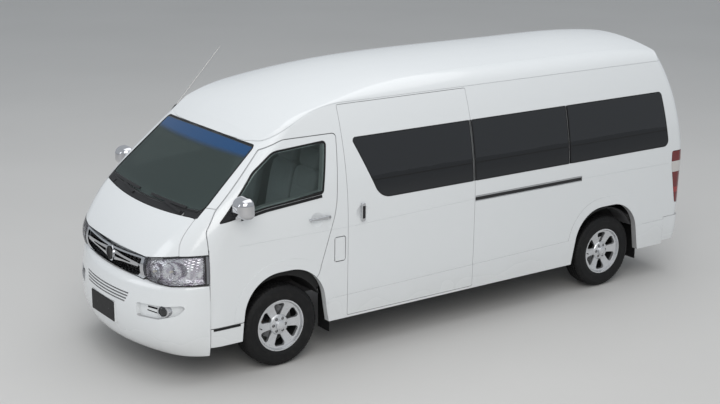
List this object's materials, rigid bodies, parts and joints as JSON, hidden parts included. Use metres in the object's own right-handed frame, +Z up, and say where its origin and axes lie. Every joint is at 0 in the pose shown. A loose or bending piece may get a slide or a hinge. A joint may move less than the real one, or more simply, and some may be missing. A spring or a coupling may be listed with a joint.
{
  "type": "minibus",
  "caption": "White high-roof minibus with hinged front doors, side sliding door, lifting tailgate, steerable front wheels and a furnished cabin.",
  "frame": {"origin": "on the ground under the middle of the vehicle, on its centreline", "axes": "+X to the front, +Y to the vehicle's left, +Z up"},
  "size_m": [5.6898, 2.2362, 2.327],
  "materials": {
    "white_paint": "gloss",
    "inner_metal": "satin",
    "black_metal": "satin",
    "bumper_white": "gloss",
    "glass_clear": "gloss",
    "glass_dark": "gloss",
    "lamp_clear": "gloss",
    "lamp_red": "gloss",
    "chrome": "polished",
    "alloy": "satin",
    "tyre": "matte",
    "steel": "satin",
    "iron": "matte",
    "rubber": "matte",
    "plastic_dark": "matte",
    "plastic_black": "gloss",
    "seat_fabric": "matte",
    "plate_black": "gloss"
  },
  "bodies": {
    "vehicle": {"antenna": "plastic_dark", "body_side_left": "white_paint", "body_side_right": "white_paint", "cab_frame": "inner_metal", "cab_seats": "seat_fabric", "chassis": "black_metal", "cowl": "plastic_dark", "dashboard": "plastic_dark", "engine": "iron", "exhaust": "steel", "floor_pan": "inner_metal", "fog_lamps": "lamp_clear", "front_bumper": "bumper_white", "front_fenders": "white_paint", "front_suspension": "black_metal", "fuel_tank": "plastic_dark", "grille": "chrome", "grille_mesh": "plastic_black", "headlamp_lenses": "lamp_clear", "headlamps": "chrome", "mudflaps": "rubber", "passenger_seats": "seat_fabric", "plate_front": "plate_black", "rear_axle": "iron", "rear_bumper": "bumper_white", "roof_cap": "white_paint", "side_windows": "glass_dark", "slide_rail": "plastic_dark", "sliding_door": "white_paint", "sliding_handle": "chrome", "spare_wheel": "rubber", "steering_wheel": "plastic_dark", "tail_lamps": "lamp_red", "windscreen": "glass_clear", "wipers": "plastic_dark"},
    "door_left": {"door_left": "white_paint", "door_window_left": "glass_clear", "mirror_left": "chrome", "handle_left": "chrome"},
    "door_right": {"door_right": "white_paint", "door_window_right": "glass_clear", "mirror_right": "chrome", "handle_right": "chrome"},
    "bonnet": {"bonnet": "white_paint"},
    "tailgate": {"tailgate": "white_paint", "tailgate_window": "glass_dark", "plate_rear": "plate_black"},
    "fuel_flap": {"fuel_flap": "white_paint"},
    "knuckle_left": {"knuckle_left": "iron"},
    "knuckle_right": {"knuckle_right": "iron"},
    "wheel_front_left": {"tyre_front_left": "tyre", "rim_front_left": "alloy"},
    "wheel_front_right": {"tyre_front_right": "tyre", "rim_front_right": "alloy"},
    "wheel_rear_left": {"tyre_rear_left": "tyre", "rim_rear_left": "alloy"},
    "wheel_rear_right": {"tyre_rear_right": "tyre", "rim_rear_right": "alloy"}
  },
  "joints": [
    {"name": "door_left_hinge", "type": "hinge", "parent": "vehicle", "child": "door_left", "pos_m": [2.35, 0.916, 0.9], "axis": [0, 0, -1], "range_deg": [0, 65]},
    {"name": "door_right_hinge", "type": "hinge", "parent": "vehicle", "child": "door_right", "pos_m": [2.35, -0.916, 0.9], "axis": [0, 0, 1], "range_deg": [0, 65]},
    {"name": "bonnet_hinge", "type": "hinge", "parent": "vehicle", "child": "bonnet", "pos_m": [2.395, 0, 1.303], "axis": [0, -1, 0], "range_deg": [0, 50]},
    {"name": "tailgate_hinge", "type": "hinge", "parent": "vehicle", "child": "tailgate", "pos_m": [-2.67147, 0, 1.988], "axis": [0, 1, 0], "range_deg": [0, 80]},
    {"name": "fuel_flap_hinge", "type": "hinge", "parent": "vehicle", "child": "fuel_flap", "pos_m": [1.222, 0.93276, 0.9045], "axis": [0, 0, -1], "range_deg": [0, 95]},
    {"name": "steering_left", "type": "hinge", "parent": "vehicle", "child": "knuckle_left", "pos_m": [1.715, 0.7, 0.342], "axis": [0, 0, 1], "range_deg": [-35, 35]},
    {"name": "steering_right", "type": "hinge", "parent": "vehicle", "child": "knuckle_right", "pos_m": [1.715, -0.7, 0.342], "axis": [0, 0, 1], "range_deg": [-35, 35]},
    {"name": "wheel_front_left_spin", "type": "hinge", "parent": "knuckle_left", "child": "wheel_front_left", "pos_m": [1.715, 0.8, 0.342], "axis": [0, 1, 0], "continuous": true},
    {"name": "wheel_front_right_spin", "type": "hinge", "parent": "knuckle_right", "child": "wheel_front_right", "pos_m": [1.715, -0.8, 0.342], "axis": [0, 1, 0], "continuous": true},
    {"name": "wheel_rear_left_spin", "type": "hinge", "parent": "vehicle", "child": "wheel_rear_left", "pos_m": [-1.845, 0.8, 0.342], "axis": [0, 1, 0], "continuous": true},
    {"name": "wheel_rear_right_spin", "type": "hinge", "parent": "vehicle", "child": "wheel_rear_right", "pos_m": [-1.845, -0.8, 0.342], "axis": [0, 1, 0], "continuous": true}
  ],
  "couplings": [
    {"joint": "steering_right", "follows": "steering_left", "ratio": 1}
  ]
}
